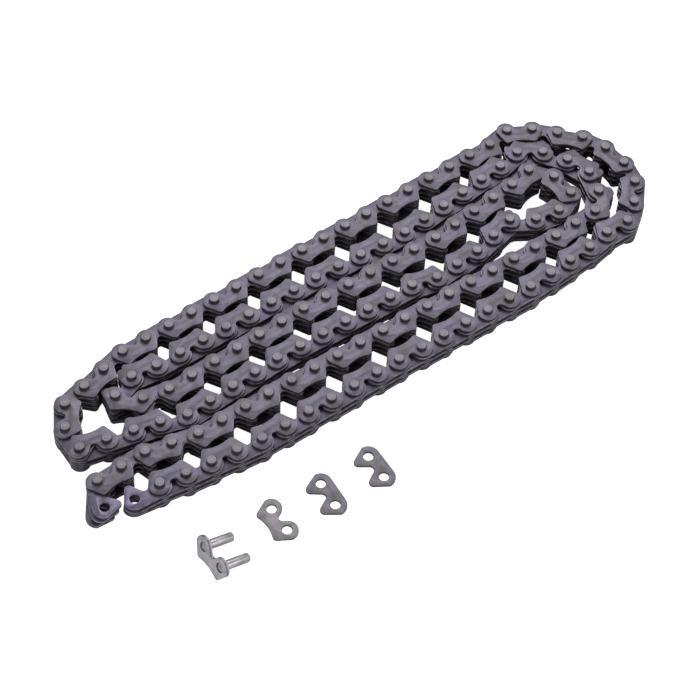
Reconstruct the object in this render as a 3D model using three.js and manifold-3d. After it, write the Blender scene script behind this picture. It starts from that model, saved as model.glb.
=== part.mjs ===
// Inverted-tooth timing chain laid out on its side in six strands, with a loose connecting set.
// Millimetres, +Z up, X along the strands. Z = 0 is the surface that the chain lies on.
import * as THREE from "three";
import { mergeVertices } from "three/addons/utils/BufferGeometryUtils.js";
import Module from "manifold-3d";

const wasm = await Module();
wasm.setup();

// Chain sizes
const pitch = 6.35; // pin centre to pin centre
const plateThickness = 0.82;
const sideClearance = 0.06; // between neighbouring plates of the stack
const plateLayers = 7; // guide, inner, outer, inner, outer, inner, guide
const pinDiameter = 2.2;
const pinProud = 0.9; // pin end beyond the guide plate
const runningClearance = 0.1; // hole radius over pin radius where a plate turns on its pin
const pressGap = 0.02; // hole radius over pin radius where a plate is pressed on
const pinSides = 8;
const flankAngle = 30; // of a tooth flank from the tooth's centre line, degrees

// Toothed plate, measured from its pin line
const toothed = {
  backHeight: 2.7, // pin line to straight back, and radius of the ends
  flankDistance: 2.35, // pin centre to outer flank
  tipHeight: 3.8,
  tipRadius: 1.05,
  crotchHeight: 0.68, // deepest point between the two teeth
  crotchRadius: 1.0,
};

// Guide plate, measured from its pin line
const guide = {
  lobeRadius: 2.4,
  lobeOutset: 0.2, // lobe centre beyond the pin centre
  lobeDrop: 0.1, // lobe centre behind the pin line
  flankDistance: 2.42,
  cornerHeight: 3.72,
  cornerRadius: 0.85,
  waistHeight: 3.22,
  waistHalfWidth: 1.3,
  waistEase: 10, // slope of the tooth side where it leaves a corner, degrees
  notchHeight: 0.05, // deepest point of the notch between the lobes
  notchRadius: 0.95,
  notchOpening: 30, // slope of the notch's sides, degrees
  lobeOverlap: 5, // how far a lobe's arc runs on into the notch and the flank, degrees
};

// The pin of the open end of strand one
const firstPin = { x: 6.38, y: 0.35 };

// How the chain lies, from the open end of strand one: [links, heading in degrees].
// Each fixed stretch is a strand and the turn after it.
const endOneRoute = [[1, -9], [1, -6]];
const stretches = [
  {
    name: "strand_one",
    route: [
      [2, -6], [6, 0], [6, -1], [3, 4], [1, 10], [1, -1],
      [1, 36], [1, 48], [1, 76], [1, 96], [1, 114], [2, 134], [1, 151], [1, -169], [1, 180],
    ],
  },
  { name: "strand_two", route: [[16, -179], [3, -165], [1, -121], [1, -91], [3, -13]] },
  {
    name: "strand_three",
    route: [
      [1, -17], [4, 3], [6, -1], [1, -13], [2, 4], [2, 14],
      [1, -32], [1, -9], [1, 24], [1, 92], [1, 128], [1, -168],
    ],
  },
  { name: "strand_four", route: [[4, -174], [6, 179], [6, -178], [1, 169], [1, 139], [1, 22], [1, -6]] },
  {
    name: "strand_five",
    route: [
      [7, 0], [4, -2], [5, 6],
      [1, 11], [1, -33], [1, -56], [1, -72], [1, -107], [1, -137], [2, -177],
    ],
  },
  { name: "strand_six", route: [[12, 179], [4, 180], [2, 168]] },
];
const endTwoRoute = [[2, -178]];
const endOnePlateHeadings = [177, 177, 172]; // of the last plates away from their pin, top to bottom
const endTwoPlateHeadings = [-108, -114, -124];

// Loose pieces: the pin hole nearest strand one, and the heading towards the other hole
const looseSlots = {
  coverPlate: { x: 25.2, y: -15.8, heading: -91.8 },
  toothedPlateOne: { x: 38.0, y: -16.6, heading: -94.2 },
  toothedPlateTwo: { x: 51.0, y: -16.8, heading: -92.1 },
  pinLink: { x: 6.5, y: -16.8 }, // lies straight across, with its pins along X
};

const pinRadius = pinDiameter / 2;
const layerPitch = plateThickness + sideClearance;
const pinLength = plateLayers * plateThickness + (plateLayers - 1) * sideClearance + 2 * pinProud;
const outerLayers = [2, 4]; // the toothed plates of an outer link, counted from the bottom guide as 0
const innerLayers = [1, 3, 5];
const guideLayers = [0, plateLayers - 1];

const steel = (color, roughness) => new THREE.MeshStandardMaterial({ color, roughness, metalness: 0.9 });
const plateSteel = steel(0x6a6570, 0.5);
const pinSteel = steel(0x857f86, 0.4);
const looseSteel = steel(0x8f8b93, 0.4);
const brightSteel = steel(0xc4bfc4, 0.25);

const radians = THREE.MathUtils.degToRad;
const layerBottom = (layer) => pinProud + layer * layerPitch;

function polar(centreX, centreY, radius, degrees) {
  const angle = radians(degrees);
  return new THREE.Vector2(centreX + radius * Math.cos(angle), centreY + radius * Math.sin(angle));
}

// The corners of the polygon that touches an arc from outside, so that straight edges meet it smoothly.
function roundedBy(centreX, centreY, radius, from, to, corners) {
  const step = (to - from) / corners;
  const reach = radius / Math.cos(radians(step / 2));
  return Array.from({ length: corners }, (_, i) => polar(centreX, centreY, reach, from + step * (i + 0.5)));
}

function regularPolygon(radius, sides) {
  return Array.from({ length: sides }, (_, i) => polar(0, 0, radius, (360 * (i + 0.5)) / sides));
}

// A plate is the same at both ends: its outline is one half and the mirrored half.
function mirrored(half) {
  const other = half.map((p) => new THREE.Vector2(pitch - p.x, p.y)).reverse();
  return [...half, ...other].filter((p, i, all) => p.distanceTo(all[(i + 1) % all.length]) > 1e-6);
}

// The x of a circle of this radius that touches the outer flank at this height.
function besideFlank(flankDistance, height, radius) {
  const slope = radians(flankAngle);
  return (Math.sin(slope) * height - (flankDistance - radius)) / Math.cos(slope);
}

function toothedOutline(corners) {
  const tipY = toothed.tipHeight - toothed.tipRadius;
  const tipX = besideFlank(toothed.flankDistance, tipY, toothed.tipRadius);
  const crotchY = toothed.crotchHeight + toothed.crotchRadius;
  return mirrored([
    ...roundedBy(0, 0, toothed.backHeight, 270, 180 - flankAngle, corners),
    ...roundedBy(tipX, tipY, toothed.tipRadius, 180 - flankAngle, flankAngle, corners),
    ...roundedBy(pitch / 2, crotchY, toothed.crotchRadius, 180 + flankAngle, 270, Math.floor(corners / 2)),
  ]);
}

// The round end of a guide plate, from the notch to the outer flank.
function lobeCorners(corners) {
  const notchSide = 360 - guide.notchOpening - guide.lobeOverlap;
  const flankSide = 180 - flankAngle + guide.lobeOverlap;
  return roundedBy(-guide.lobeOutset, -guide.lobeDrop, guide.lobeRadius, notchSide, flankSide, corners);
}

function guideOutline(corners) {
  const cornerY = guide.cornerHeight - guide.cornerRadius;
  const cornerX = besideFlank(guide.flankDistance, cornerY, guide.cornerRadius);
  const notchY = guide.notchHeight - guide.notchRadius;
  const notchSide = 180 - guide.notchOpening;
  const cornerStart = 180 - flankAngle;
  const cornerEnd = 90 - guide.waistEase;
  const few = Math.floor(corners / 2);
  return mirrored([
    ...roundedBy(pitch / 2, notchY, guide.notchRadius, 90, notchSide, few),
    ...lobeCorners(corners + 1),
    ...roundedBy(cornerX, cornerY, guide.cornerRadius, cornerStart, cornerEnd, few),
    new THREE.Vector2(pitch / 2 - guide.waistHalfWidth, guide.waistHeight),
  ]);
}

function holePath(x, radius) {
  return new THREE.Path(regularPolygon(radius, pinSides).map((p) => new THREE.Vector2(p.x + x, p.y)));
}

function prism(outline, height, holeRadii = []) {
  const shape = new THREE.Shape(outline);
  holeRadii.forEach((radius, end) => {
    if (radius) shape.holes.push(holePath(end * pitch, radius));
  });
  return new THREE.ExtrudeGeometry(shape, { depth: height, bevelEnabled: false });
}

function pinGeometry(length) {
  return prism(regularPolygon(pinRadius, pinSides), length);
}

// A closed geometry as a manifold-3d solid.
function solidOf(geometry) {
  const bare = geometry.clone();
  bare.deleteAttribute("normal");
  bare.deleteAttribute("uv");
  const merged = mergeVertices(bare, 1e-4);
  return new wasm.Manifold(
    new wasm.Mesh({
      numProp: 3,
      vertProperties: merged.attributes.position.array,
      triVerts: new Uint32Array(merged.index.array),
    }),
  );
}

function geometryOf(solid) {
  const mesh = solid.getMesh();
  const geometry = new THREE.BufferGeometry();
  geometry.setAttribute("position", new THREE.BufferAttribute(mesh.vertProperties, 3));
  geometry.setIndex(new THREE.BufferAttribute(mesh.triVerts, 1));
  return geometry;
}

function named(name, geometry, material) {
  const mesh = new THREE.Mesh(geometry, material);
  mesh.name = name;
  return mesh;
}

function placed(object, x, y, z, heading) {
  object.position.set(x, y, z);
  object.rotation.z = radians(heading);
  return object;
}

// Walks a route and gives each link its first pin, its heading and its last pin.
function walk(startX, startY, route) {
  const links = [];
  let x = startX;
  let y = startY;
  for (const [count, heading] of route) {
    for (let i = 0; i < count; i += 1) {
      const link = { x, y, heading };
      x += pitch * Math.cos(radians(heading));
      y += pitch * Math.sin(radians(heading));
      links.push({ ...link, endX: x, endY: y });
    }
  }
  return links;
}

const layout = new THREE.Group();
const runningHole = pinRadius + runningClearance;
const pressHole = pinRadius + pressGap;

function addPlate(name, outline, layer, link, holeRadii, material = plateSteel) {
  const plate = named(name, prism(outline, plateThickness, holeRadii), material);
  layout.add(placed(plate, link.x, link.y, layerBottom(layer), link.heading));
}

const fineToothed = toothedOutline(3);
const fineGuide = guideOutline(3);

function addInnerLink(prefix, link) {
  innerLayers.forEach((layer, i) => {
    addPlate(`${prefix}_inner_plate_${i + 1}`, fineToothed, layer, link, [runningHole, runningHole]);
  });
}

function addOuterLink(prefix, link) {
  const pressed = [pressHole, pressHole];
  guideLayers.forEach((layer, i) => {
    addPlate(`${prefix}_guide_plate_${i + 1}`, fineGuide, layer, link, pressed);
  });
  outerLayers.forEach((layer, i) => {
    addPlate(`${prefix}_middle_plate_${i + 1}`, fineToothed, layer, link, pressed);
  });
  [[link.x, link.y], [link.endX, link.endY]].forEach(([x, y], i) => {
    const pin = named(`${prefix}_pin_${i + 1}`, pinGeometry(pinLength), pinSteel);
    layout.add(placed(pin, x, y, 0, link.heading));
  });
}

// The three plates of an end link hang on one pin, so each has a heading of its own.
function addEndPlates(prefix, pinX, pinY, headings, teethOnLeft) {
  innerLayers.forEach((layer, i) => {
    const heading = headings[headings.length - 1 - i];
    const tip = {
      x: pinX + pitch * Math.cos(radians(heading)),
      y: pinY + pitch * Math.sin(radians(heading)),
    };
    const link = teethOnLeft ? { x: pinX, y: pinY, heading } : { ...tip, heading: heading + 180 };
    addPlate(`${prefix}_end_plate_${i + 1}`, fineToothed, layer, link, [runningHole, runningHole]);
  });
}

// The fixed stretches are solid through the layers and have plainer outlines.
const plainSides = 6;
const fusing = 0.02; // of a fixed guide plate into the layers under it
const runEndReach = 2.3; // pin centre to a run's end corners, which lie inside the neighbouring links
const runEndCorners = [215, 165]; // where those corners stand round the pin, degrees
const tipFlat = 0.62; // half width of the flat where two links' teeth lie over each other
const tipSlope = 0.1; // drop of the flat beyond the last pin of a straight run
const turningClearance = 0.15; // round the tooth tips of a link that turns against a fixed stretch
const plainGuide = mirrored([
  new THREE.Vector2(pitch / 2, guide.notchHeight),
  ...lobeCorners(3),
  new THREE.Vector2(besideFlank(guide.flankDistance, guide.cornerHeight, 0), guide.cornerHeight),
  new THREE.Vector2(pitch / 2 - guide.waistHalfWidth, guide.waistHeight),
]);
const coreBottom = pinProud; // the lower guide plates are not told apart
const coreTop = layerBottom(plateLayers - 2) + plateThickness;
const guideTop = layerBottom(plateLayers - 1) + plateThickness;
const slotSides = 12;
const slotRadius = (toothed.tipHeight + turningClearance) / Math.cos(Math.PI / slotSides);

// The outline of a straight run of links: one tooth per pin and one crotch per link.
function runOutline(count) {
  const crotchX = pitch / 2 - toothed.crotchRadius * Math.tan(radians(flankAngle));
  const runEnd = [
    new THREE.Vector2(0, -toothed.backHeight),
    ...runEndCorners.map((degrees) => polar(0, 0, runEndReach, degrees)),
    new THREE.Vector2(-tipFlat / 2, toothed.tipHeight - tipSlope),
  ];
  const runLength = count * pitch;
  const teeth = [];
  for (let i = 0; i < count; i += 1) {
    const start = i * pitch;
    teeth.push(
      new THREE.Vector2(start + tipFlat, toothed.tipHeight),
      new THREE.Vector2(start + crotchX, toothed.crotchHeight),
      new THREE.Vector2(start + pitch - crotchX, toothed.crotchHeight),
      new THREE.Vector2(start + pitch - tipFlat, toothed.tipHeight),
    );
  }
  const farEnd = runEnd.map((p) => new THREE.Vector2(runLength - p.x, p.y)).reverse();
  return [...runEnd, ...teeth, ...farEnd];
}

function column(outline, bottom, top, x, y, heading) {
  return solidOf(prism(outline, top - bottom)).rotate([0, 0, heading]).translate([x, y, bottom]);
}

// The room that the next stretch's plates need around the pin where two stretches meet.
function turningRoom(layers, x, y) {
  return layers.map((layer) => {
    const bottom = layerBottom(layer) - sideClearance;
    const top = bottom + plateThickness + 2 * sideClearance;
    return column(regularPolygon(slotRadius, slotSides), bottom, top, x, y, 0);
  });
}

// Each stretch keeps the pins of its outer links. It ends on one, and all but the first start on a hole.
function addStretch(stretch, links, firstIsOuter) {
  const solids = [];
  const pins = [];
  let passed = 0;
  stretch.route.forEach(([count, heading]) => {
    const { x, y } = links[passed];
    solids.push(column(runOutline(count), coreBottom, coreTop, x, y, heading));
    passed += count;
  });
  links.forEach((link, i) => {
    const { x, y, heading } = link;
    const isInner = i % 2 === (firstIsOuter ? 1 : 0);
    if (isInner) return;
    solids.push(column(plainGuide, coreTop - fusing, guideTop, x, y, heading));
    [[x, y], [link.endX, link.endY]].forEach(([pinX, pinY]) => {
      pins.push(column(regularPolygon(pinRadius, plainSides), 0, pinLength, pinX, pinY, heading));
    });
  });
  const first = links[0];
  const last = links[links.length - 1];
  const cuts = turningRoom(innerLayers, last.endX, last.endY);
  if (firstIsOuter) {
    cuts.push(...turningRoom(innerLayers, first.x, first.y));
  } else {
    const hole = regularPolygon(runningHole, plainSides);
    cuts.push(...turningRoom([guideLayers[0], ...outerLayers], first.x, first.y));
    cuts.push(column(hole, 0, pinLength, first.x, first.y, first.heading));
  }
  const plates = wasm.Manifold.union(solids).subtract(wasm.Manifold.union(cuts));
  layout.add(named(stretch.name, geometryOf(wasm.Manifold.union([plates, ...pins])), plateSteel));
}

// End one: the open end of strand one, free to swing
const endOne = walk(firstPin.x, firstPin.y, endOneRoute);
addEndPlates("end_one", firstPin.x, firstPin.y, endOnePlateHeadings, false);
addOuterLink("end_one_link_1", endOne[0]);
addInnerLink("end_one_link_2", endOne[1]);

let { endX, endY } = endOne[endOne.length - 1];
stretches.forEach((stretch, i) => {
  const links = walk(endX, endY, stretch.route);
  addStretch(stretch, links, i === 0);
  ({ endX, endY } = links[links.length - 1]);
});

// End two: the open end of strand six
const endTwo = walk(endX, endY, endTwoRoute);
addInnerLink("end_two_link_2", endTwo[0]);
addOuterLink("end_two_link_1", endTwo[1]);
addEndPlates("end_two", endTwo[1].endX, endTwo[1].endY, endTwoPlateHeadings, true);

// The loose connecting set
function addLoosePlate(name, outline, slot) {
  const plate = named(name, prism(outline, plateThickness, [runningHole, runningHole]), looseSteel);
  const x = slot.x + pitch * Math.cos(radians(slot.heading));
  const y = slot.y + pitch * Math.sin(radians(slot.heading));
  layout.add(placed(plate, x, y, 0, slot.heading + 180));
}

addLoosePlate("loose_cover_plate", fineGuide, looseSlots.coverPlate);
addLoosePlate("loose_toothed_plate_1", fineToothed, looseSlots.toothedPlateOne);
addLoosePlate("loose_toothed_plate_2", fineToothed, looseSlots.toothedPlateTwo);

// The pin link leans on the tooth side of its plate and on the tips of its two pins.
function addPinLink(slot) {
  const lean = Math.atan2(guide.cornerHeight - pinRadius, pinLength - plateThickness);
  const pinLink = new THREE.Group();
  const plate = prism(fineGuide, plateThickness, [pressHole, pressHole]);
  pinLink.add(named("pin_link_plate", plate, looseSteel));
  [0, pitch].forEach((x, i) => {
    const pin = named(`pin_link_pin_${i + 1}`, pinGeometry(pinLength), brightSteel);
    pin.position.set(x, 0, 0);
    pinLink.add(pin);
  });
  const along = new THREE.Vector3(0, -1, 0);
  const teeth = new THREE.Vector3(-Math.sin(lean), 0, -Math.cos(lean));
  const pins = new THREE.Vector3(Math.cos(lean), 0, -Math.sin(lean));
  pinLink.quaternion.setFromRotationMatrix(new THREE.Matrix4().makeBasis(along, teeth, pins));
  pinLink.position.set(slot.x, slot.y, 0);
  pinLink.updateMatrixWorld(true);
  pinLink.position.z = -new THREE.Box3().setFromObject(pinLink, true).min.z;
  layout.add(pinLink);
}
addPinLink(looseSlots.pinLink);

// The row frame: origin under the middle of the layout, on the surface it lies on
layout.updateMatrixWorld(true);
const bounds = new THREE.Box3().setFromObject(layout, true);
const middle = bounds.getCenter(new THREE.Vector3());
layout.position.set(-middle.x, -middle.y, -bounds.min.z);

export default layout;
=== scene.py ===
import bpy
import math
from mathutils import Matrix, Vector
from mathutils.geometry import tessellate_polygon


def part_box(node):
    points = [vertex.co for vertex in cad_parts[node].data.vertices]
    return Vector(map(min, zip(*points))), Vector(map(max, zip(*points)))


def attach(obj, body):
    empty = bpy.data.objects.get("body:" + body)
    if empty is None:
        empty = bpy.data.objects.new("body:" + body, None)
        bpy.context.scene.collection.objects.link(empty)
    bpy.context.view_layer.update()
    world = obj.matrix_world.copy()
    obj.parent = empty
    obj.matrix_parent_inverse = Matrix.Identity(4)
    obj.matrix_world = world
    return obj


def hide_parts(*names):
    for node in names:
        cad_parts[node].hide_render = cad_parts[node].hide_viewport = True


# An inverted-tooth timing chain laid out in six strands, with its loose connecting set.
# Sizes are in millimetres, and mm turns them into metres. The floor and the soft boxes are in metres.

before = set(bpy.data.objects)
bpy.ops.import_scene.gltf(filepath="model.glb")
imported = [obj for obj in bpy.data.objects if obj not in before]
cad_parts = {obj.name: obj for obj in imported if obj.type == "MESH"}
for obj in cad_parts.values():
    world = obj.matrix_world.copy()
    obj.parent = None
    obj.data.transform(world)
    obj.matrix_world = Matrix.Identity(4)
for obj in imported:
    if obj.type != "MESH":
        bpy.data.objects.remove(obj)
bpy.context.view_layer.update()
print("stage: frame loaded,", len(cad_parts), "CAD nodes")

mm = 0.001

chain = {
    "pitch": 6.35,
    "plateThickness": 0.82,
    "layerPitch": 0.88,
    "innerLayers": (1, 3, 5),  # layers are counted from the floor side
    "middleLayers": (2, 4),
    "guideLayers": (0, 6),
    "looseHole": 1.19,  # radius of a hole that turns on its pin
    "pressedHole": 1.12,  # and of one that is pressed on
    "holeSides": 28,
    "pinRadius": 1.1,
    "pinProud": 0.9,  # pin below the lowest plate and above the topmost one
    "pinLength": 7.9,
    "flankAngle": 30,
    "edgeAngle": 38,  # faces that meet at a wider angle are shaded as an edge
}

# Links in order from the first pin: [links, heading in degrees], grouped by the CAD strand they lie in
endOneRoute = [[1, -9], [1, -6]]
strandRoutes = {
    "strand_one": [
        [2, -6], [6, 0], [6, -1], [3, 4], [1, 10], [1, -1],
        [1, 36], [1, 48], [1, 76], [1, 96], [1, 114], [2, 134], [1, 151], [1, -169], [1, 180],
    ],
    "strand_two": [[16, -179], [3, -165], [1, -121], [1, -91], [3, -13]],
    "strand_three": [
        [1, -17], [4, 3], [6, -1], [1, -13], [2, 4], [2, 14],
        [1, -32], [1, -9], [1, 24], [1, 92], [1, 128], [1, -168],
    ],
    "strand_four": [[4, -174], [6, 179], [6, -178], [1, 169], [1, 139], [1, 22], [1, -6]],
    "strand_five": [
        [7, 0], [4, -2], [5, 6],
        [1, 11], [1, -33], [1, -56], [1, -72], [1, -107], [1, -137], [2, -177],
    ],
    "strand_six": [[12, 179], [4, 180], [2, 168]],
}
endTwoRoute = [[2, -178]]
endOnePlateHeadings = [172, 177, 177]  # bottom, middle, top, seen from the first pin
endTwoPlateHeadings = [-124, -114, -108]


def arcPoints(cx, cy, radius, start, end, count):
    steps = [math.radians(start + (end - start) * i / count) for i in range(count + 1)]
    return [(cx + radius * math.cos(a), cy + radius * math.sin(a)) for a in steps]


def besideFlank(flankDistance, height, radius):
    slope = math.radians(chain["flankAngle"])
    return (math.sin(slope) * height - (flankDistance - radius)) / math.cos(slope)


samePoint = 0.02  # outline points closer than this are taken as one


def bothHalves(half):
    outline = half + [(chain["pitch"] - x, y) for x, y in reversed(half)]
    kept = []
    for point in outline:
        if not kept or math.dist(point, kept[-1]) > samePoint:
            kept.append(point)
    if math.dist(kept[0], kept[-1]) < samePoint:
        kept.pop()
    return kept


def turningLeft(outline):
    area = sum(a[0] * b[1] - b[0] * a[1] for a, b in zip(outline, outline[1:] + outline[:1]))
    return outline if area > 0 else outline[::-1]


toothedPlate = {
    "backHeight": 2.69,
    "tipHeight": 3.8,
    "tipRadius": 1.05,
    "flankDistance": 2.35,
    "crotchHeight": 0.68,
    "crotchRadius": 1.0,
    "backArc": (270, 180, 9),  # first and last direction from the arc's centre, and its steps
    "tipSteps": 9,
    "crotchSteps": 5,
}


def toothedOutline():
    p = toothedPlate
    flank = chain["flankAngle"]
    tipY = p["tipHeight"] - p["tipRadius"]
    tipX = besideFlank(p["flankDistance"], tipY, p["tipRadius"])
    crotchY = p["crotchHeight"] + p["crotchRadius"]
    half = arcPoints(0, 0, p["backHeight"], *p["backArc"])
    half += arcPoints(tipX, tipY, p["tipRadius"], 180 - flank, flank, p["tipSteps"])
    half += arcPoints(chain["pitch"] / 2, crotchY, p["crotchRadius"], 180 + flank, 270, p["crotchSteps"])
    return turningLeft(bothHalves(half))


guidePlate = {
    "notchHeight": 0.05,
    "notchRadius": 0.95,
    "notchArc": (90, 150, 5),
    "lobeRadius": 2.4,
    "lobeOutset": 0.2,
    "lobeDrop": 0.1,
    "lobeArc": (322, 172, 15),
    "flankDistance": 2.42,
    "cornerHeight": 3.72,
    "cornerRadius": 0.85,
    "cornerArc": (150, 68, 6),
    "waistHeight": 3.12,  # the lowest point of the hollow between the corners
    "waistSteps": 5,
}


def guideOutline():
    p = guidePlate
    cornerY = p["cornerHeight"] - p["cornerRadius"]
    cornerX = besideFlank(p["flankDistance"], cornerY, p["cornerRadius"])
    middle = chain["pitch"] / 2
    half = arcPoints(middle, p["notchHeight"] - p["notchRadius"], p["notchRadius"], *p["notchArc"])
    half += arcPoints(-p["lobeOutset"], -p["lobeDrop"], p["lobeRadius"], *p["lobeArc"])
    half += arcPoints(cornerX, cornerY, p["cornerRadius"], *p["cornerArc"])
    startX, startY = half[-1]
    for i in range(1, p["waistSteps"] + 1):
        share = i / p["waistSteps"]
        x = startX + (middle - startX) * share
        half.append((x, p["waistHeight"] + (startY - p["waistHeight"]) * (1 - share) ** 2))
    return turningLeft(bothHalves(half))


noArea = 1e-9  # a cap's triangles thinner than this are left out


class PieceMesh:
    def __init__(self):
        self.points, self.faces = [], []
        self.rims, self.kinds = [], []  # one of each for a face
        self.heads = []  # and one for a point
        self.kind = 0  # which of the piece's materials the next faces take

    def ring(self, outline, z, head=0.0):
        start = len(self.points)
        self.points += [Vector((x, y, z)) for x, y in outline]
        self.heads += [head] * len(outline)
        return list(range(start, len(self.points)))

    def band(self, lower, upper, rim):
        count = len(lower)
        for i in range(count):
            j = (i + 1) % count
            self.faces.append((lower[i], lower[j], upper[j], upper[i]))
            self.rims.append(rim)
            self.kinds.append(self.kind)

    def cap(self, rings, upward):
        order = [i for ring in rings for i in ring]
        loops = [[self.points[i] for i in ring] for ring in rings]
        for a, b, c in tessellate_polygon(loops):
            tri = (order[a], order[b], order[c])
            p, q, r = (self.points[i] for i in tri)
            facing = (q - p).cross(r - p).z
            if abs(facing) < noArea:
                continue
            self.faces.append(tri if (facing > 0) == upward else tri[::-1])
            self.rims.append(0.0)
            self.kinds.append(self.kind)


leastTurn = 0.6  # keeps an inset's sharp corners from running away


def inset(outline, depth):
    moved = []
    count = len(outline)
    for i, (x, y) in enumerate(outline):
        ax, ay = outline[i - 1]
        bx, by = outline[(i + 1) % count]
        n1 = Vector((y - ay, ax - x)).normalized()
        n2 = Vector((by - y, x - bx)).normalized()
        n = (n1 + n2).normalized()
        reach = depth / max(leastTurn, n.dot(n1))
        moved.append((x - n.x * reach, y - n.y * reach))
    return moved


# Rim values paint shade into a plate's lower rim, where plates meet, and a highlight on its sheared zone
# and upper rim, along with real burnish and tearing
blankedWall = {
    "rolledEdge": 0.1,  # rounding of a plate's upper rim
    "brokenEdge": 0.07,  # and of its lower one
    "roundShare": 0.3,  # where a rounding's middle point lies on its way in
    "tornShare": 0.48,  # lower part of the wall, torn steel darkened further with painted shade; the rest is sheared bright, with a painted highlight
    "brokenPaintedShade": -1.0,  # under nought a rim is darkened with painted shade, over nought it is brightened by wear and a painted highlight
    "tornDarkAndShade": -0.7,
    "shearedBurnishAndHighlight": 0.75,
    "rolledWearAndHighlight": 1.0,
}


def addPlate(mesh, outline, holeRadii, bottom):
    p = blankedWall
    rolled, broken, share = p["rolledEdge"], p["brokenEdge"], p["roundShare"]
    top = bottom + chain["plateThickness"]
    loops = [outline]
    for end, radius in enumerate(holeRadii):
        if radius:
            loops.append(arcPoints(end * chain["pitch"], 0, radius, 360, 0, chain["holeSides"])[:-1])
    levels = [  # depth into the wall, height, and the rim's wear with painted shade and highlight from there up to the next level
        (broken, bottom, p["brokenPaintedShade"]),
        (broken * share, bottom + broken * share, p["brokenPaintedShade"]),
        (0.0, bottom + broken, p["tornDarkAndShade"]),
        (0.0, bottom + p["tornShare"] * chain["plateThickness"], p["shearedBurnishAndHighlight"]),
        (0.0, top - rolled, p["rolledWearAndHighlight"]),
        (rolled * share, top - rolled * share, p["rolledWearAndHighlight"]),
        (rolled, top, 0.0),
    ]
    bottomRings, topRings = [], []
    for loop in loops:
        rings = [mesh.ring(inset(loop, depth) if depth else loop, z) for depth, z, _ in levels]
        for lower, upper, level in zip(rings, rings[1:], levels):
            mesh.band(lower, upper, level[2])
        bottomRings.append(rings[0])
        topRings.append(rings[-1])
    mesh.cap(bottomRings, False)
    mesh.cap(topRings, True)


# A head's profile goes outwards as radius and height over the pin's end
rivetedPin = {
    "bottom": 0.0,
    "sides": 30,
    "head": [
        (0.3, -0.015), (0.56, -0.015), (0.62, -0.03), (0.69, -0.012), (0.82, -0.005),
        (1.04, -0.012), (1.13, -0.05), (1.17, -0.13), (1.17, -0.3), (1.11, -0.7),
    ],
}
plainPin = {
    "bottom": 0.2,  # its end stays under the outer face of the pin link's plate
    "sides": 40,
    "head": [(0.5, -0.005), (0.86, -0.005), (0.98, -0.05), (1.07, -0.14), (1.1, -0.26)],
}


def addPin(mesh, x, pin):
    lowerHalf = [(radius, pin["bottom"] - z) for radius, z in pin["head"]]
    upperHalf = [(radius, chain["pinLength"] + z) for radius, z in reversed(pin["head"])]
    rings = []
    for radius, z in lowerHalf + upperHalf:
        circle = arcPoints(x, 0, radius, 0, 360, pin["sides"])[:-1]
        rings.append(mesh.ring(circle, z, radius / chain["pinRadius"]))
    for lower, upper in zip(rings, rings[1:]):
        mesh.band(lower, upper, 0.0)
    mesh.cap([rings[0]], False)
    mesh.cap([rings[-1]], True)


def finishedMesh(name, mesh, materials, turn):
    data = bpy.data.meshes.new(name)
    data.from_pydata([turn @ (p * mm) for p in mesh.points], [], mesh.faces)
    data.update()
    # the rim attribute carries painted edge highlight and painted shade as well as wear
    rim = data.attributes.new("rimWearAndPaintedLight", "FLOAT", "FACE")
    rim.data.foreach_set("value", mesh.rims)
    head = data.attributes.new("headReach", "FLOAT", "POINT")
    head.data.foreach_set("value", mesh.heads)
    data.polygons.foreach_set("use_smooth", [True] * len(data.polygons))
    data.polygons.foreach_set("material_index", mesh.kinds)
    data.set_sharp_from_angle(angle=math.radians(chain["edgeAngle"]))
    for material in materials:
        data.materials.append(material)
    return data


def layerBottom(layer):
    return chain["pinProud"] + layer * chain["layerPitch"]


# Steel: one node group for blanked sheet, with painted rim highlight and shade, one for a darker ring in
# the groove and painted shade on the sides of a pin's head
def newGroup(name, inputs, outputs):
    group = bpy.data.node_groups.new(name, "ShaderNodeTree")
    for label, kind, value in inputs:
        socket = group.interface.new_socket(label, in_out="INPUT", socket_type=kind)
        if value is not None:
            socket.default_value = value
    for label, kind in outputs:
        group.interface.new_socket(label, in_out="OUTPUT", socket_type=kind)
    return group, group.nodes.new("NodeGroupInput"), group.nodes.new("NodeGroupOutput")


def noiseNode(tree, vector, scale, detail, roughness):
    node = tree.nodes.new("ShaderNodeTexNoise")
    node.inputs["Scale"].default_value = scale
    node.inputs["Detail"].default_value = detail
    node.inputs["Roughness"].default_value = roughness
    tree.links.new(vector, node.inputs["Vector"])
    return node


def rampNode(tree, source, low, high):
    node = tree.nodes.new("ShaderNodeMapRange")
    node.inputs["From Min"].default_value = low
    node.inputs["From Max"].default_value = high
    tree.links.new(source, node.inputs["Value"])
    return node.outputs["Result"]


def mixColour(tree, factor, a, b, blend="MIX"):
    node = tree.nodes.new("ShaderNodeMix")
    node.data_type = "RGBA"
    node.blend_type = blend
    for socket, value in ((node.inputs[0], factor), (node.inputs[6], a), (node.inputs[7], b)):
        if hasattr(value, "is_output"):
            tree.links.new(value, socket)
        else:
            socket.default_value = value
    return node.outputs[2]


def mathNode(tree, operation, a, b):
    node = tree.nodes.new("ShaderNodeMath")
    node.operation = operation
    for socket, value in ((node.inputs[0], a), (node.inputs[1], b)):
        if hasattr(value, "is_output"):
            tree.links.new(value, socket)
        else:
            socket.default_value = value
    return node.outputs[0]


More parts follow.
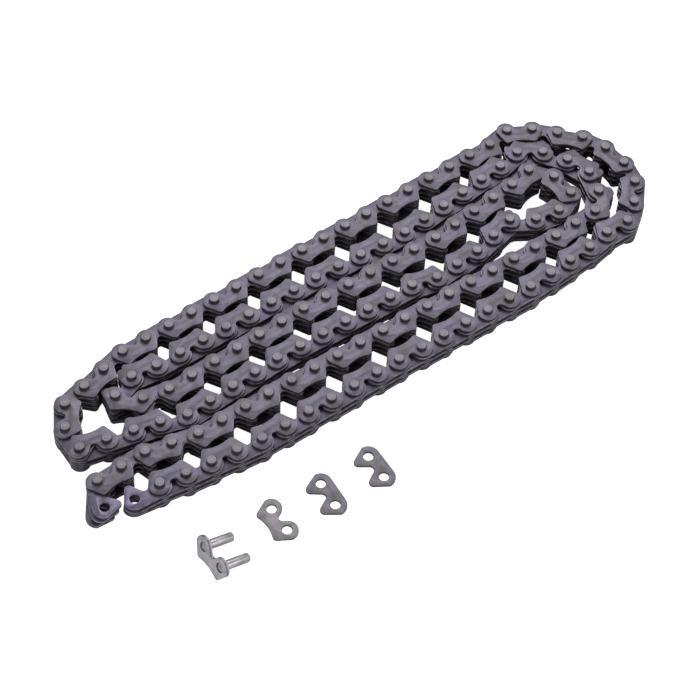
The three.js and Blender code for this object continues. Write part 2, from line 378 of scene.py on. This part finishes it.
blankedFinish = {
    "mottle": (700.0, 5.0, 0.6),  # scale, detail and roughness of a noise
    "grain": (5200.0, 3.0, 0.6),
    "patches": (230.0, 4.0, 0.65),
    "mottleRange": (0.3, 0.7),
    "grainRange": (0.3, 0.7),
    "patchRange": (0.5, 0.68),
    "rimBreakupRange": (0.32, 0.62),
    "darker": (0.72, 0.72, 0.74, 1),
    "lighter": (1.28, 1.27, 1.25, 1),
    "speckle": (1.16, 1.15, 1.15, 1),
    # strength of the painted shade in the lower rims and torn zone
    "shadeAndTornAmount": 0.85,
    "mottleRoughness": 0.1,
    "patchRoughness": 0.08,
    "rimSmoothness": 0.12,
    "mottleHeight": 0.6,
    "grainHeight": 0.4,
}


def makeBlankedSteelGroup():
    p = blankedFinish
    group, given, out = newGroup(
        "blankedSteel",
        [
            ("Vector", "NodeSocketVector", None),
            ("Steel", "NodeSocketColor", (0.15, 0.14, 0.16, 1)),
            ("Stain", "NodeSocketColor", (0.13, 0.1, 0.08, 1)),
            # the bright colour is a painted rim highlight as well as wear; the near-black one is painted
            # shade with dark torn steel
            ("Bright", "NodeSocketColor", (0.5, 0.48, 0.5, 1)),
            ("TornAndShadeDark", "NodeSocketColor", (0.012, 0.01, 0.012, 1)),
            ("StainAmount", "NodeSocketFloat", 0.5),
            ("RimAmount", "NodeSocketFloat", 0.5),
            ("BaseRoughness", "NodeSocketFloat", 0.45),
        ],
        [("Color", "NodeSocketColor"), ("Roughness", "NodeSocketFloat"), ("Height", "NodeSocketFloat")],
    )
    vector = given.outputs["Vector"]
    steel = given.outputs["Steel"]
    mottle = noiseNode(group, vector, *p["mottle"]).outputs["Fac"]
    grain = noiseNode(group, vector, *p["grain"]).outputs["Fac"]
    patches = noiseNode(group, vector, *p["patches"]).outputs["Fac"]
    mottleMask = rampNode(group, mottle, *p["mottleRange"])
    grainMask = rampNode(group, grain, *p["grainRange"])
    patchMask = rampNode(group, patches, *p["patchRange"])
    darker = mixColour(group, 1.0, steel, p["darker"], "MULTIPLY")
    lighter = mixColour(group, 1.0, steel, p["lighter"], "MULTIPLY")
    mottled = mixColour(group, mottleMask, darker, lighter)
    speckle = mixColour(group, 1.0, mottled, p["speckle"], "MULTIPLY")
    speckled = mixColour(group, grainMask, mottled, speckle)
    stainMask = mathNode(group, "MULTIPLY", patchMask, given.outputs["StainAmount"])
    stained = mixColour(group, stainMask, speckled, given.outputs["Stain"])
    # rims over nought get the painted highlight, rims under nought are darkened to near black as painted
    # shade
    rim = group.nodes.new("ShaderNodeAttribute")
    rim.attribute_name = "rimWearAndPaintedLight"
    raised = mathNode(group, "MAXIMUM", rim.outputs["Fac"], 0.0)
    wearAndHighlightRim = mathNode(group, "MULTIPLY", raised, rampNode(group, mottle, *p["rimBreakupRange"]))
    rimMask = mathNode(group, "MULTIPLY", wearAndHighlightRim, given.outputs["RimAmount"])
    brightened = mixColour(group, rimMask, stained, given.outputs["Bright"])
    sunk = mathNode(group, "MULTIPLY", rim.outputs["Fac"], -p["shadeAndTornAmount"])
    shadeAndTornMask = mathNode(group, "MAXIMUM", sunk, 0.0)
    coloured = mixColour(group, shadeAndTornMask, brightened, given.outputs["TornAndShadeDark"])
    rough = given.outputs["BaseRoughness"]
    for operation, mask, amount in (
        ("ADD", mottleMask, p["mottleRoughness"]),
        ("ADD", patchMask, p["patchRoughness"]),
        ("SUBTRACT", rimMask, p["rimSmoothness"]),
    ):
        rough = mathNode(group, operation, rough, mathNode(group, "MULTIPLY", mask, amount))
    mottleHeight = mathNode(group, "MULTIPLY", mottle, p["mottleHeight"])
    grainHeight = mathNode(group, "MULTIPLY", grain, p["grainHeight"])
    height = mathNode(group, "ADD", mottleHeight, grainHeight)
    group.links.new(coloured, out.inputs["Color"])
    group.links.new(rough, out.inputs["Roughness"])
    group.links.new(height, out.inputs["Height"])
    return group


headRingAndSideShadePlace = {
    "ringReach": 0.56,  # as a share of the pin's radius
    "ringWidth": 0.1,
    "sideShadeRange": (0.97, 1.05),
}


def makeHeadRingAndSideShadeGroup():
    p = headRingAndSideShadePlace
    group, given, out = newGroup(
        "headRingAndSideShade",
        [
            ("Color", "NodeSocketColor", (0.3, 0.3, 0.3, 1)),
            ("RingAndSideShade", "NodeSocketColor", (0.08, 0.075, 0.08, 1)),
            ("RingAmount", "NodeSocketFloat", 0.5),
            ("SideShadeAmount", "NodeSocketFloat", 0.5),
        ],
        [("Color", "NodeSocketColor")],
    )
    reach = group.nodes.new("ShaderNodeAttribute")
    reach.attribute_name = "headReach"
    offset = mathNode(group, "SUBTRACT", reach.outputs["Fac"], p["ringReach"])
    away = mathNode(group, "ABSOLUTE", offset, 0.0)
    onRing = rampNode(group, away, p["ringWidth"], 0.0)
    ringMask = mathNode(group, "MULTIPLY", onRing, given.outputs["RingAmount"])
    # the sides of the head and the shank are darkened as painted shade
    onSide = rampNode(group, reach.outputs["Fac"], *p["sideShadeRange"])
    sideShadeMask = mathNode(group, "MULTIPLY", onSide, given.outputs["SideShadeAmount"])
    ringed = mixColour(group, ringMask, given.outputs["Color"], given.outputs["RingAndSideShade"])
    group.links.new(mixColour(group, sideShadeMask, ringed, given.outputs["RingAndSideShade"]), out.inputs["Color"])
    return group


blankedSteel = makeBlankedSteelGroup()
headRingAndSideShade = makeHeadRingAndSideShadeGroup()
bumpDepth = 0.06


def steelMaterial(name, look):
    material = bpy.data.materials.new(name)
    material.use_nodes = True
    tree = material.node_tree
    shader = tree.nodes["Principled BSDF"]
    where = tree.nodes.new("ShaderNodeTexCoord")
    stretch = tree.nodes.new("ShaderNodeVectorMath")
    stretch.operation = "MULTIPLY"
    stretch.inputs[1].default_value = look.get("stretch", (1, 1, 1))
    tree.links.new(where.outputs["Object"], stretch.inputs[0])
    steel = tree.nodes.new("ShaderNodeGroup")
    steel.node_tree = blankedSteel
    tree.links.new(stretch.outputs[0], steel.inputs["Vector"])
    for label in ("Steel", "Stain", "Bright"):
        steel.inputs[label].default_value = (*look[label], 1)
    for label in ("StainAmount", "RimAmount", "BaseRoughness"):
        steel.inputs[label].default_value = look[label]
    colour = steel.outputs["Color"]
    if "RingAmount" in look:
        mark = tree.nodes.new("ShaderNodeGroup")
        mark.node_tree = headRingAndSideShade
        for label in ("RingAmount", "SideShadeAmount"):
            mark.inputs[label].default_value = look[label]
        tree.links.new(colour, mark.inputs["Color"])
        colour = mark.outputs["Color"]
    bump = tree.nodes.new("ShaderNodeBump")
    bump.inputs["Strength"].default_value = look["bump"]
    bump.inputs["Distance"].default_value = bumpDepth * mm
    tree.links.new(steel.outputs["Height"], bump.inputs["Height"])
    tree.links.new(colour, shader.inputs["Base Color"])
    tree.links.new(steel.outputs["Roughness"], shader.inputs["Roughness"])
    tree.links.new(bump.outputs["Normal"], shader.inputs["Normal"])
    shader.inputs["Metallic"].default_value = look["metallic"]
    return material


# Each look's rim colour is a painted highlight as well as worn steel
steelLooks = {
    "guidePlateSteel": {
        "Steel": (0.138, 0.131, 0.168), "Stain": (0.15, 0.118, 0.108), "Bright": (0.50, 0.48, 0.52),
        "StainAmount": 0.45, "RimAmount": 0.6, "BaseRoughness": 0.42, "bump": 0.35, "metallic": 0.85,
    },
    "toothedPlateSteel": {
        "Steel": (0.124, 0.115, 0.157), "Stain": (0.13, 0.102, 0.100), "Bright": (0.52, 0.49, 0.55),
        "StainAmount": 0.4, "RimAmount": 0.75, "BaseRoughness": 0.40, "bump": 0.35, "metallic": 0.85,
    },
    "endPlateSteel": {
        "Steel": (0.150, 0.136, 0.200), "Stain": (0.13, 0.11, 0.13), "Bright": (0.55, 0.52, 0.60),
        "StainAmount": 0.3, "RimAmount": 0.75, "BaseRoughness": 0.40, "bump": 0.35, "metallic": 0.85,
    },
    "rivetedPinSteel": {
        "Steel": (0.154, 0.143, 0.166), "Stain": (0.14, 0.12, 0.125), "Bright": (0.5, 0.48, 0.5),
        "StainAmount": 0.3, "RimAmount": 0.0, "BaseRoughness": 0.36, "bump": 0.25, "metallic": 0.85,
        "RingAmount": 0.15, "SideShadeAmount": 0.35,
    },
    "loosePlateSteel": {
        "Steel": (0.255, 0.243, 0.262), "Stain": (0.22, 0.2, 0.2), "Bright": (0.5, 0.48, 0.5),
        "StainAmount": 0.25, "RimAmount": 0.4, "BaseRoughness": 0.5, "bump": 0.25, "metallic": 0.75,
    },
    "looseToothedSteel": {
        "Steel": (0.185, 0.168, 0.200), "Stain": (0.15, 0.13, 0.14), "Bright": (0.42, 0.39, 0.44),
        "StainAmount": 0.25, "RimAmount": 0.4, "BaseRoughness": 0.5, "bump": 0.25, "metallic": 0.75,
    },
    "pinLinkPlateSteel": {
        "Steel": (0.57, 0.545, 0.60), "Stain": (0.5, 0.48, 0.5), "Bright": (0.8, 0.78, 0.83),
        "StainAmount": 0.2, "RimAmount": 0.4, "BaseRoughness": 0.42, "bump": 0.15, "metallic": 0.6,
    },
    "brightPinSteel": {
        "Steel": (0.50, 0.475, 0.50), "Stain": (0.42, 0.4, 0.42), "Bright": (0.9, 0.9, 0.9),
        "StainAmount": 0.12, "RimAmount": 0.0, "BaseRoughness": 0.3, "bump": 0.0, "metallic": 0.7,
        "stretch": (0.05, 1, 1),  # drawn wire: streaks run along the pins
    },
}
steels = {name: steelMaterial(name, look) for name, look in steelLooks.items()}
print("stage: materials made")

# The chain: outer links have odd numbers and carry the pins, inner links have even ones
toothed = toothedOutline()
guide = guideOutline()
looseHoles = [chain["looseHole"]] * 2
pressedHoles = [chain["pressedHole"]] * 2
filledHoles = [0, 0]  # nothing shows of a hole with a plate on both sides


def placeOf(x, y, heading):
    return Matrix.Translation((x * mm, y * mm, 0)) @ Matrix.Rotation(math.radians(heading), 4, "Z")


def addPiece(name, mesh, finishes, turn, body, nodes):
    materials = [steels[finish] for finish in finishes]
    piece = bpy.data.objects.new(name, finishedMesh(name, mesh, materials, turn))
    bpy.context.scene.collection.objects.link(piece)
    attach(piece, body)
    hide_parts(*nodes)


def addInnerLink(number, link, body, nodes, holeRadii):
    mesh = PieceMesh()
    for layer in chain["innerLayers"]:
        addPlate(mesh, toothed, holeRadii, layerBottom(layer))
    name = f"innerPlates{number:03d}"
    addPiece(name, mesh, ["toothedPlateSteel"], placeOf(*link), body, nodes)


def addOuterLink(number, link, body, nodesOfPlates, nodesOfPins):
    plates, pins = PieceMesh(), PieceMesh()
    for layer in chain["guideLayers"]:
        addPlate(plates, guide, pressedHoles, layerBottom(layer))
    plates.kind = 1
    for layer in chain["middleLayers"]:
        addPlate(plates, toothed, filledHoles, layerBottom(layer))
    for x in (0.0, chain["pitch"]):
        addPin(pins, x, rivetedPin)
    turn = placeOf(*link)
    finishes = ["guidePlateSteel", "toothedPlateSteel"]
    addPiece(f"outerPlates{number:03d}", plates, finishes, turn, body, nodesOfPlates)
    addPiece(f"pins{number:03d}", pins, ["rivetedPinSteel"], turn, body, nodesOfPins)


def onePitchOn(x, y, heading):
    angle = math.radians(heading)
    return x + chain["pitch"] * math.cos(angle), y + chain["pitch"] * math.sin(angle)


def walkRoute(x, y, route):
    links = []
    for count, heading in route:
        for _ in range(count):
            links.append((x, y, heading))
            x, y = onePitchOn(x, y, heading)
    return links, x, y


def nodesNamed(start):
    return [n for n in sorted(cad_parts) if n.startswith(start)]


def addEndOuterLink(end, number, link):
    body = f"{end}_link_1"
    plateNodes = nodesNamed(f"{body}_guide") + nodesNamed(f"{body}_middle")
    addOuterLink(number, link, body, plateNodes, nodesNamed(f"{body}_pin"))


def addEndInnerLink(end, number, link):
    body = f"{end}_link_2"
    addInnerLink(number, link, body, nodesNamed(body), looseHoles)


def addEndPlates(end, pinX, pinY, headings, teethOnLeft):
    for i, heading in enumerate(headings):
        mesh = PieceMesh()
        addPlate(mesh, toothed, looseHoles, layerBottom(chain["innerLayers"][i]))
        x, y = pinX, pinY
        if not teethOnLeft:
            x, y = onePitchOn(x, y, heading)
            heading += 180
        name, body, node = f"{end}EndPlate{i + 1}", f"{end}_plate_{i + 1}", f"{end}_end_plate_{i + 1}"
        addPiece(name, mesh, ["endPlateSteel"], placeOf(x, y, heading), body, [node])


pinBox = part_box("end_one_link_1_pin_1")
firstX, firstY = ((pinBox[0] + pinBox[1]) / 2 / mm)[:2]
addEndPlates("end_one", firstX, firstY, endOnePlateHeadings, False)
endOneLinks, x, y = walkRoute(firstX, firstY, endOneRoute)
addEndOuterLink("end_one", 1, endOneLinks[0])
addEndInnerLink("end_one", 2, endOneLinks[1])
number = 3
for strand, route in strandRoutes.items():
    links, x, y = walkRoute(x, y, route)
    for link in links:
        if number % 2:
            addOuterLink(number, link, "coil", [strand], [strand])
        else:
            addInnerLink(number, link, "coil", [strand], filledHoles)
        number += 1
endTwoLinks, x, y = walkRoute(x, y, endTwoRoute)
addEndInnerLink("end_two", number, endTwoLinks[0])
addEndOuterLink("end_two", number + 1, endTwoLinks[1])
addEndPlates("end_two", x, y, endTwoPlateHeadings, True)
endPlateRows = 2  # the loose plates at each end count as one link
print("stage: chain laid out,", number + 1 + endPlateRows, "links")

# The loose connecting set
planFirstPin = (6.38, 0.35)  # where the first pin stands in the plan that places this set and the camera
planShift = Vector((firstX - planFirstPin[0], firstY - planFirstPin[1]))
loosePlates = {
    "coverPlate": {
        "x": 25.2, "y": -15.8, "heading": -91.8, "outline": guide, "finish": "loosePlateSteel",
        "body": "cover_plate",
    },
    "looseToothedPlate1": {
        "x": 38.0, "y": -16.6, "heading": -94.2, "outline": toothed, "finish": "looseToothedSteel",
        "body": "toothed_plate_1",
    },
    "looseToothedPlate2": {
        "x": 51.0, "y": -16.8, "heading": -92.1, "outline": toothed, "finish": "looseToothedSteel",
        "body": "toothed_plate_2",
    },
}


def addLoosePlate(name, plate):
    mesh = PieceMesh()
    addPlate(mesh, plate["outline"], looseHoles, 0.0)
    x, y = onePitchOn(plate["x"] + planShift.x, plate["y"] + planShift.y, plate["heading"])
    turn = placeOf(x, y, plate["heading"] + 180)
    node = "loose_" + plate["body"]
    addPiece(name, mesh, [plate["finish"]], turn, plate["body"], [node])


for name, plate in loosePlates.items():
    addLoosePlate(name, plate)

pinLink = {"x": 6.5, "y": -16.8}  # it leans on its plate's tooth side and its pins' tips


def addPinLink(place):
    thickness, length = chain["plateThickness"], chain["pinLength"]
    lean = math.atan2(guidePlate["cornerHeight"] - chain["pinRadius"], length - thickness)
    plateMesh, pinMesh = PieceMesh(), PieceMesh()
    addPlate(plateMesh, guide, pressedHoles, 0.0)
    for x in (0.0, chain["pitch"]):
        addPin(pinMesh, x, plainPin)
    along = Vector((0, -1, 0))
    teeth = Vector((-math.sin(lean), 0, -math.cos(lean)))
    pins = Vector((math.cos(lean), 0, -math.sin(lean)))
    turn = Matrix((along, teeth, pins)).transposed().to_4x4()
    lowest = min((turn @ (p * mm)).z for p in plateMesh.points + pinMesh.points)
    x, y = place["x"] + planShift.x, place["y"] + planShift.y
    turn = Matrix.Translation((x * mm, y * mm, -lowest)) @ turn
    body, plateNodes, pinNodes = "pin_link", ["pin_link_plate"], ["pin_link_pin_1", "pin_link_pin_2"]
    addPiece("pinLinkPlate", plateMesh, ["pinLinkPlateSteel"], turn, body, plateNodes)
    addPiece("pinLinkPins", pinMesh, ["brightPinSteel"], turn, body, pinNodes)


addPinLink(pinLink)
print("stage: loose pieces laid out")

# Floor, light and camera
studio = {
    "floorHalf": 3.0,
    "floorColour": (0.55, 0.55, 0.55),
    "floorRoughness": 0.9,
    "floorSpecular": 0.1,
    "floorGlow": 0.97,  # only the camera sees it
    "worldStrength": 0.28,
}

# Soft boxes: where they stand, how large and how strong
softBoxes = {
    "overheadBox": {"place": (0.36, 0.48, 0.74), "size": (0.8, 0.6), "power": 4.6},
    "frontBox": {"place": (0.2, -0.58, 0.34), "size": (0.9, 0.22), "power": 2.0},
    "sideBox": {"place": (-0.62, -0.1, 0.4), "size": (0.5, 0.3), "power": 1.4},
}


def makeFloor():
    half = studio["floorHalf"]
    points = [(-half, -half, 0.0), (half, -half, 0.0), (half, half, 0.0), (-half, half, 0.0)]
    data = bpy.data.meshes.new("paleFloor")
    data.from_pydata(points, [], [(0, 1, 2, 3)])
    floor = bpy.data.objects.new("paleFloor", data)
    bpy.context.scene.collection.objects.link(floor)
    material = bpy.data.materials.new("palePaper")
    material.use_nodes = True
    tree = material.node_tree
    shader = tree.nodes["Principled BSDF"]
    shader.inputs["Base Color"].default_value = (*studio["floorColour"], 1)
    shader.inputs["Roughness"].default_value = studio["floorRoughness"]
    shader.inputs["Specular IOR Level"].default_value = studio["floorSpecular"]
    shader.inputs["Emission Color"].default_value = (1, 1, 1, 1)
    path = tree.nodes.new("ShaderNodeLightPath")
    glow = mathNode(tree, "MULTIPLY", path.outputs["Is Camera Ray"], studio["floorGlow"])
    tree.links.new(glow, shader.inputs["Emission Strength"])
    data.materials.append(material)


def makeLights():
    world = bpy.data.worlds.new("softRoom")
    world.use_nodes = True
    background = world.node_tree.nodes["Background"]
    background.inputs["Color"].default_value = (1, 1, 1, 1)
    background.inputs["Strength"].default_value = studio["worldStrength"]
    bpy.context.scene.world = world
    for name, box in softBoxes.items():
        light = bpy.data.lights.new(name, "AREA")
        light.shape = "RECTANGLE"
        light.size, light.size_y = box["size"]
        light.energy = box["power"]
        lamp = bpy.data.objects.new(name, light)
        bpy.context.scene.collection.objects.link(lamp)
        lamp.location = box["place"]
        lamp.rotation_euler = (-lamp.location).to_track_quat("-Z", "Y").to_euler()


tableView = {
    "sensorWidth": 36,
    "focalRatio": 3.1075285714285714,  # focal length over the sensor's width
    "elevation": 55.088,
    "heading": 38.0437,  # of the camera's right side from the strands, clockwise
    "roll": 3.049,
    "distance": 500.28,
    "aim": (61.619, 5.556, 7.65),
    "clip": (10, 20000),
}


def makeCamera():
    view = tableView
    e, h, r = (math.radians(view[k]) for k in ("elevation", "heading", "roll"))
    right = Vector((math.cos(h), -math.sin(h), 0))
    ahead = Vector((math.sin(h) * math.cos(e), math.cos(h) * math.cos(e), -math.sin(e)))
    up = right.cross(ahead)
    imageRight = math.cos(r) * right + math.sin(r) * up
    imageUp = -math.sin(r) * right + math.cos(r) * up
    aim = Vector(view["aim"]) + planShift.to_3d()
    data = bpy.data.cameras.new("tableCamera")
    data.sensor_width = view["sensorWidth"]
    data.lens = view["sensorWidth"] * view["focalRatio"]
    data.clip_start, data.clip_end = (distance * mm for distance in view["clip"])
    camera = bpy.data.objects.new("tableCamera", data)
    bpy.context.scene.collection.objects.link(camera)
    turn = Matrix((imageRight, imageUp, -ahead)).transposed().to_4x4()
    camera.matrix_world = Matrix.Translation((aim - ahead * view["distance"]) * mm) @ turn
    bpy.context.scene.camera = camera


makeFloor()
makeLights()
makeCamera()
bpy.context.scene.view_settings.view_transform = "Standard"
print("stage: floor, light and camera set")
